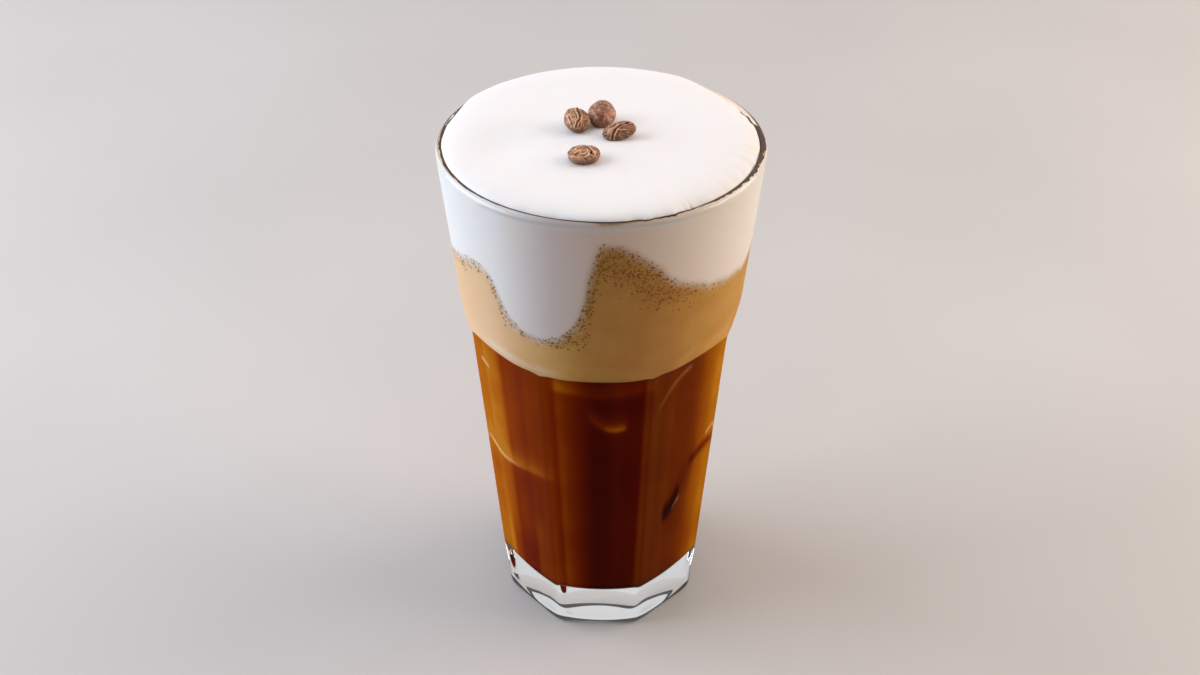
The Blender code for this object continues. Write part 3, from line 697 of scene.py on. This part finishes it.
def bubbleChance(azimuth, depth, slope):
    # the sum of the fields in front, beside and behind, each a share faded in and out by azimuth, times
    # exp(-d^2), where d is the distance from the field's middle over its width
    near = np.abs(depth) / np.sqrt(1 + slope ** 2)
    spread = 5.4 - 2.4 * softStep(15, 40, azimuth)
    crest = softStep(-6, -2, azimuth) * softStep(56, 10, azimuth) * np.exp(-((depth - spread) / spread) ** 2)
    side = 0.75 * softStep(-24, -13, azimuth) * softStep(2, -2, azimuth) * np.exp(-((near - 0.8) / 1.8) ** 2)
    lobe = 0.4 * softStep(-52, -44, azimuth) * softStep(-10, -14, azimuth) * np.exp(-((near - 0.8) / 1.1) ** 2)
    left = 0.35 * softStep(-90, -74, azimuth) * softStep(-46, -54, azimuth) * np.exp(-((near - 0.8) / 1.5) ** 2)
    behind = 0.35 * softStep(20, 5, np.abs(azimuth - 128)) * np.exp(-((depth - 4) / 4) ** 2)
    thread = 0.05 * np.exp(-(near / 1.1) ** 2)
    return np.clip(crest + side + lobe + left + behind + thread, 0, 1) * (depth > -1.5)


def frothAt(points):
    # the share of small bubbles at points near the wall
    azimuth = np.degrees(np.arctan2(points[..., 0], -points[..., 1]))
    level = wispyLevel(azimuth)
    return bubbleChance(azimuth, level - points[..., 2], plumeSlope(azimuth, level))


def makeBubbles(material):
    # lens-shaped bubbles: a flattened half sphere each, its middle on the inner wall
    draw = np.random.default_rng(bubbles["seed"])
    tries = bubbles["tries"]
    azimuth = draw.uniform(-180, 180, tries)
    depth = draw.uniform(*bubbles["depths"], tries)
    level = wispyLevel(azimuth)
    chance = bubbleChance(azimuth, depth, plumeSlope(azimuth, level))
    size = bubbles["smallest"] + bubbles["wider"] * draw.random(tries) ** bubbles["rarity"]
    kept = np.flatnonzero(draw.random(tries) < chance)[:bubbles["count"]]
    azimuth, height, size = azimuth[kept], (level - depth)[kept], size[kept]
    out = ring(1.0, 0, azimuth)
    side = ring(1.0, 0, azimuth + 90)
    centre = ring(innerRadius(height) + foam["bite"] - bubbles["sunk"], height, azimuth)
    t = np.linspace(0, np.pi, bubbles["rings"] + 3)[:, None]
    u = np.linspace(0, 2 * np.pi, bubbles["sides"], endpoint=False)[None, :]
    local = np.stack(np.broadcast_arrays(
        np.cos(t), np.sin(t) * np.cos(u), np.sin(t) * np.sin(u)), -1)
    unit = skinPoints(local)
    thick = (bubbles["sunk"] + bubbles["proud"] * (0.6 + size))[:, None, None]
    points = centre[:, None] + out[:, None] * unit[None, :, :1] * thick
    points = points + side[:, None] * unit[None, :, 1:2] * size[:, None, None]
    points = points + np.array([0, 0, 1]) * unit[None, :, 2:] * size[:, None, None]
    offsets = len(unit) * np.arange(len(kept))[:, None, None]
    faces = [(part[None] + offsets).reshape(-1, part.shape[1]) for part in skinFaces(*local.shape[:2])]
    middle = np.clip(unit[:, 0], 0, 1) ** 3
    values = {"size": np.repeat(size, len(unit)), "middle": np.tile(middle, len(kept))}
    piece = buildMesh("cremaBubbles", points.reshape(-1, 3), faces, [material], values, sharpAngle=180)
    return piece


def bubbleFilm():
    # a bubble's wet film against the glass: a brown round spot, darker the larger it is, paler in its middle
    material, tree = startMaterial("bubbleFilm")
    size = addNode(tree, "ShaderNodeAttribute", attribute_name="size")
    dark = colourRamp(tree, size.outputs["Fac"], [(0.12, "B06C1C"), (0.22, "945812"), (0.36, "76420C")])
    middle = addNode(tree, "ShaderNodeAttribute", attribute_name="middle")
    paler = addNode(tree, "ShaderNodeMath", {0: middle.outputs["Fac"], 1: 0.6}, operation="MULTIPLY")
    colour = addNode(tree, "ShaderNodeMix", {
        "Factor": paler.outputs[0], 6: dark, 7: linearColour("C88A3C")}, data_type="RGBA")
    film = addNode(tree, "ShaderNodeBsdfPrincipled", {
        "Base Color": colour.outputs[2], "Roughness": 0.6, "Specular IOR Level": 0.1})
    addNode(tree, "ShaderNodeOutputMaterial", {"Surface": film.outputs[0]})
    return material


# Coffee beans

beans = dict(
    rows=170, columns=200, backShare=0.76, creaseDepth=0.8, creaseWidth=0.24, lipHeight=0.28,
    foldHeight=0.4, foldWidth=0.24, wrinkle=0.34, wrinkleCell=1.5, dent=0.2, dentCell=2.3,
    grain=0.06, grainCell=0.45,
    each=(
        # size is length, width, thickness; turn about +Z, lean tips the far side up, roll the right end up;
        # cut is how deep the crease is and how much painted shade lies in it;
        # keep is the share of the imported bean's box that it fills, move its shift in it; crease and
        # folds are lines of (along, across) points on the flat side
        dict(size=(8.8, 7.3, 4.4), turn=110, lean=22, roll=-16, rough=1.4, cut=0.45, keep=(0.985, 0.94, 0.9),
             move=(0.4, 0.2, 0.25),
             crease=((3.5, -0.5), (1, -0.5), (-1, 0), (-2, 1), (-3.5, 1.5)),
             folds=(((1.5, 2.5), (-0.5, 2), (-3.5, 2)), ((2.5, 1.5), (1, 1), (-0.5, 1), (-2.5, 1.5)),
                    ((1, 3), (-1, 3), (-3, 2.5)), ((3, 1), (2.5, 0.5)), ((2, 2), (0.5, 1.5), (-1, 1.5)))),
        dict(size=(9.2, 7.9, 5.3), turn=84, lean=20, roll=0, rough=1.3, cut=1, keep=(0.985, 0.985, 0.985), move=(0, 0, 0),
             crease=((-4, 0), (4, 0)), folds=(), faceDown=True),
        dict(size=(9.2, 6.8, 5.0), turn=24, lean=40, roll=14, rough=1.1, cut=0.6, keep=(0.985, 0.86, 0.8),
             move=(0, 0, -0.45),
             crease=((-3.5, -2.5), (-2, -0.5), (-0.5, 0.5), (1, 1), (4, 1)),
             folds=(((-2, -1.5), (-1, -0.5), (0.5, 0.5), (2.5, 1)), ((0, 3), (2.5, 2.5)), ((-0.5, 1.5), (2, 2)),
                    ((-4, 0.5), (-3, 0.5), (-1, 1.5)), ((-3.5, -0.5), (-1, 1.5)), ((-4, -0.5), (-1.5, 1.5)),
                    ((0, 0), (1.5, -1)))),
        dict(size=(8.6, 7.3, 4.3), turn=12, lean=9, roll=0, rough=1.2, cut=0.8, keep=(0.985, 0.96, 0.94),
             move=(0.15, 0.35, 0.05),
             crease=((-1.5, 1), (0.5, 2), (1.5, 1), (2, -0.5), (1.5, -1.5), (2, -2)),
             folds=(((-2.5, -0.5), (-1.5, 0), (0, 0.5), (1, 0), (1, -1.5)), ((-2, -1.5), (-0.5, -1.5), (0.5, -1)),
                    ((-1.5, -2.5), (0, -2.5), (1, -2)), ((1.5, 2), (2, 1), (2.5, 0)),
                    ((-4, -1), (-2, -2.5)), ((-3.5, 0), (-2, 1), (-1, 1.5)), ((2.5, -1.5), (3, -0.5)))),
    ),
)


def strokeDistance(x, y, line):
    # the least distance from points to a line of straight runs
    least = np.full(x.shape, 99.0)
    for (ax, ay), (bx, by) in zip(line, line[1:]):
        share = ((x - ax) * (bx - ax) + (y - ay) * (by - ay)) / ((bx - ax) ** 2 + (by - ay) ** 2)
        share = np.clip(share, 0, 1)
        least = np.minimum(least, np.hypot(x - ax - share * (bx - ax), y - ay - share * (by - ay)))
    return least


def beanGrid(spec, seed):
    # a half ellipsoid with a nearly flat side: across and up follow a circle whose upper half is pressed
    # down; a groove exp(-d^2) sinks along the crease between two raised lips, ridges exp(-d^2) stand
    # along the folds, and fine wrinkles 1 - 2|noise| lie between them
    t = np.radians(np.linspace(0, 180, beans["rows"]))[:, None]
    turn = np.radians(np.linspace(0, 360, beans["columns"], endpoint=False))[None, :]
    turn = turn + 0.4 * np.sin(turn)       # columns crowd on the flat side
    along, girth = -np.cos(t), np.sin(t) ** 0.88
    across, up = -np.sin(turn) * girth, -np.cos(turn) * girth
    length, width, thick = spec["size"]
    upper = softStep(-0.05, 0.3, up)
    pressed = np.sign(up) * np.abs(up) ** 0.75
    x, y = along * length / 2 + 0 * up, across * width / 2
    z = np.where(up < 0, up * beans["backShare"], pressed * (1 - beans["backShare"])) * thick
    fade = np.clip(girth, 0, 1) ** 0.6 * upper
    bend = 0.15 * latticeNoise(np.stack([x, y, 0 * x], -1), 1.1, seed + 2)
    crease = (strokeDistance(x, y, spec["crease"]) + bend) / beans["creaseWidth"]
    groove = spec["cut"] * np.exp(-crease ** 2) * fade
    ridge = np.exp(-((np.abs(crease) - 2.0) / 0.9) ** 2)
    z = z - beans["creaseDepth"] * groove + beans["lipHeight"] * ridge * fade
    folds = 0.7 * ridge
    for line in spec["folds"]:
        strand = np.exp(-((strokeDistance(x, y, line) + bend) / beans["foldWidth"]) ** 2)
        folds = np.maximum(folds, strand)
    z = z + beans["foldHeight"] * folds * fade
    flat = np.stack([x, y + 0.4 * x, 0 * x + 5 * seed], -1)
    wrinkles = 1 - 2 * np.abs(latticeNoise(flat, beans["wrinkleCell"] / 2, seed))
    wrinkles = wrinkles + 0.5 * (1 - 2 * np.abs(latticeNoise(flat, beans["wrinkleCell"] / 4, seed + 1)))
    z = z + beans["wrinkle"] * spec["rough"] * (wrinkles - 0.6) * 0.5 * fade * softStep(0.6, 2.0, crease)
    points = np.stack([x, y, z], -1)
    bumps = beans["dent"] * latticeNoise(points, beans["dentCell"], seed + 3)
    bumps = bumps + beans["grain"] * latticeNoise(points, beans["grainCell"], seed + 4)
    points = points * (1 + bumps * girth * spec["rough"] / 4)[..., None]
    # the third value marks the folds and wrinkle crests, painted pale: partly golden silverskin, partly painted
    # highlight
    return points, groove, (folds + 0.4 * np.clip(wrinkles, 0, 1)) * fade


def placeBean(points, spec, node):
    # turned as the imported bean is, then fitted inside its box
    tips = Matrix.Rotation(np.radians(-spec["roll"]), 3, "Y") @ Matrix.Rotation(np.radians(spec["lean"]), 3, "X")
    turn = Euler((np.pi if spec.get("faceDown") else 0, 0, np.radians(spec["turn"]))).to_matrix()
    turned = points @ np.array(tips @ turn).T
    low, high = (np.array(corner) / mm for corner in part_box(node))
    own = turned.max((0, 1)) - turned.min((0, 1))
    middle = (turned.max((0, 1)) + turned.min((0, 1))) / 2
    return (low + high) / 2 + spec["move"] + (turned - middle) * (spec["keep"] * (high - low) / own)


def makeBeans(material):
    pieces = []
    for number, spec in enumerate(beans["each"], 1):
        points, groove, folds = beanGrid(spec, 60 + 7 * number)
        grid = placeBean(points, spec, f"coffee_bean_{number}")
        height = grid[..., 2] - grid[..., 2].min()
        # painted shade towards the bean's lowest part
        values = {"groove": groove, "folds": folds, "shade": softStep(3.2, 1.2, height)}
        piece = laySkin(f"roastedBean_{number}", grid, [material], values, sharpAngle=70)
        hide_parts(f"coffee_bean_{number}")
        pieces.append(piece)
    return pieces


def roastedBean():
    # a medium-roasted bean: dry brown skin with a faint oil sheen, mottled by the roast, golden silverskin
    # and painted highlights on the folds and wrinkle crests, painted shade in the groove, and painted shade
    # towards its lowest part
    material, tree = startMaterial("roastedBean")
    place = addNode(tree, "ShaderNodeTexCoord")
    mottle = addNode(tree, "ShaderNodeTexNoise", {"Vector": place.outputs["Object"], "Scale": 900.0, "Detail": 5.0,
                                                  "Roughness": 0.65})
    base = colourRamp(tree, mottle.outputs[0], [(0.32, "553220"), (0.5, "9C6546"), (0.7, "D6A884")])
    folds = addNode(tree, "ShaderNodeAttribute", attribute_name="folds")
    # partly golden silverskin, partly painted highlight on the folds and crests
    silverskinAndHighlight = addNode(tree, "ShaderNodeMapRange", {
        "Value": folds.outputs["Fac"], "From Min": 0.15, "From Max": 1.0, "To Min": 0.0, "To Max": 0.9})
    skin = addNode(tree, "ShaderNodeMix", {"Factor": silverskinAndHighlight.outputs[0], 6: base, 7: linearColour("F2C29A")},
                   data_type="RGBA")
    groove = addNode(tree, "ShaderNodeAttribute", attribute_name="groove")
    shade = addNode(tree, "ShaderNodeAttribute", attribute_name="shade")
    # painted shade towards the bottom of the bean
    lowShade = addNode(tree, "ShaderNodeMath", {0: shade.outputs["Fac"], 1: 0.6}, operation="MULTIPLY")
    lower = addNode(tree, "ShaderNodeMix", {"Factor": lowShade.outputs[0], 6: skin.outputs[2], 7: linearColour("50301F")},
                    data_type="RGBA")
    # painted shade in the groove
    grooveShade = addNode(tree, "ShaderNodeMix", {"Factor": groove.outputs["Fac"], 6: lower.outputs[2], 7: linearColour("3A2216")},
                   data_type="RGBA")
    grit = addNode(tree, "ShaderNodeTexNoise", {"Vector": place.outputs["Object"], "Scale": 1500.0, "Detail": 3.0})
    bump = addNode(tree, "ShaderNodeBump", {"Height": grit.outputs[0], "Strength": 0.8, "Distance": 0.00035})
    shell = addNode(tree, "ShaderNodeBsdfPrincipled", {
        "Base Color": grooveShade.outputs[2], "Roughness": 0.38, "Normal": bump.outputs[0]})
    addNode(tree, "ShaderNodeOutputMaterial", {"Surface": shell.outputs[0]})
    return material


# Studio

studio = dict(
    cameraPlace=(-0.35, -332.4, 330.2), cameraTilt=54.15, lens=42.0,
    floorSize=8000, floorLow="C4C2C0", floorHigh="CAC8C6",
    world="F2F0F1", worldLow=0.22, worldHigh=0.82, brightTowards=(0, 0.8, 0.6),
    softboxes=(
        # name, place, aim, width, height, watts and colour
        ("keyLeft", (-1030, 110, 540), (0, 0, 100), 1000, 800, 14, "EEF2FF"),
        ("fillRight", (950, 120, 500), (0, 0, 100), 800, 700, 9.2, "FFE6D0"),
        ("topBack", (-150, 300, 1300), (0, 0, 100), 900, 600, 0.4, "FFFFFF"),
    ),
)


def makeStudio():
    camera = bpy.data.objects.new("camera", bpy.data.cameras.new("camera"))
    camera.location = np.array(studio["cameraPlace"]) * mm
    camera.rotation_euler = (np.radians(studio["cameraTilt"]), 0, 0)
    camera.data.lens = studio["lens"]
    camera.data.sensor_width = 36
    camera.data.clip_start = 0.01
    bpy.context.scene.collection.objects.link(camera)
    bpy.context.scene.camera = camera
    world = bpy.data.worlds.new("paleRoom")
    world.use_nodes = True
    background = world.node_tree.nodes["Background"]
    background.inputs["Color"].default_value = linearColour(studio["world"])
    # a smooth glow, brightest high at the back, by the dot product of the direction with it
    sky = addNode(world.node_tree, "ShaderNodeTexCoord")
    towards = addNode(world.node_tree, "ShaderNodeVectorMath", {
        0: sky.outputs["Generated"], 1: studio["brightTowards"]}, operation="DOT_PRODUCT")
    glow = addNode(world.node_tree, "ShaderNodeMapRange", {
        "Value": towards.outputs["Value"], "From Min": -0.1, "From Max": 0.95,
        "To Min": studio["worldLow"], "To Max": studio["worldHigh"]}, interpolation_type="SMOOTHSTEP")
    world.node_tree.links.new(glow.outputs[0], background.inputs["Strength"])
    bpy.context.scene.world = world
    for name, place, aim, width, height, watts, colour in studio["softboxes"]:
        light = bpy.data.lights.new(name, "AREA")
        light.shape = "RECTANGLE"
        light.size, light.size_y = width * mm, height * mm
        light.energy = watts
        light.color = linearColour(colour)[:3]
        lamp = bpy.data.objects.new(name, light)
        direction = (np.array(aim) - np.array(place)) * mm
        lamp.location = np.array(place) * mm
        lamp.rotation_mode = "QUATERNION"
        lamp.rotation_quaternion = Vector(direction).to_track_quat("-Z", "Y")
        bpy.context.scene.collection.objects.link(lamp)
    half = studio["floorSize"] / 2
    corners = np.array([[-half, -half, 0], [half, -half, 0], [half, half, 0], [-half, half, 0]])
    floor = buildMesh("floor", corners, [np.array([[0, 1, 2, 3]])], [paleBoard()])


def paleBoard():
    # a painted board: pale, matt and even
    material, tree = startMaterial("paleBoard")
    place = addNode(tree, "ShaderNodeTexCoord")
    tone = addNode(tree, "ShaderNodeTexNoise", {"Vector": place.outputs["Object"], "Scale": 6.0, "Detail": 2.0})
    colour = colourRamp(tree, tone.outputs[0], [(0.3, studio["floorLow"]), (0.7, studio["floorHigh"])])
    board = addNode(tree, "ShaderNodeBsdfPrincipled", {"Base Color": colour, "Roughness": 0.6})
    addNode(tree, "ShaderNodeOutputMaterial", {"Surface": board.outputs[0]})
    return material


makeStudio()
print("camera, floor and soft lights made")
madePieces = makeBeans(roastedBean())
print("beans made")
foamPiece = makeMilkFoam(foamMaterial("whippedMilk", 1800.0))
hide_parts("milk_foam")
cremaPiece = makeCrema(foamMaterial("cremaFoam", 2600.0))
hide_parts("crema")
bubblePiece = makeBubbles(bubbleFilm())
print("foam, crema and bubbles made")
coffeePiece = makeCoffee(icedCoffee())
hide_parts("coffee")
print("coffee made")
tumblerPiece = makeTumbler(sodaLimeGlass())
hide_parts("glass")
print("tumbler made")
madePieces += [foamPiece, cremaPiece, bubblePiece, coffeePiece, tumblerPiece]
for piece in madePieces:
    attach(piece, "root")

scene = bpy.context.scene
scene.view_settings.view_transform = "Standard"
scene.cycles.max_bounces = 24
scene.cycles.transmission_bounces = 24
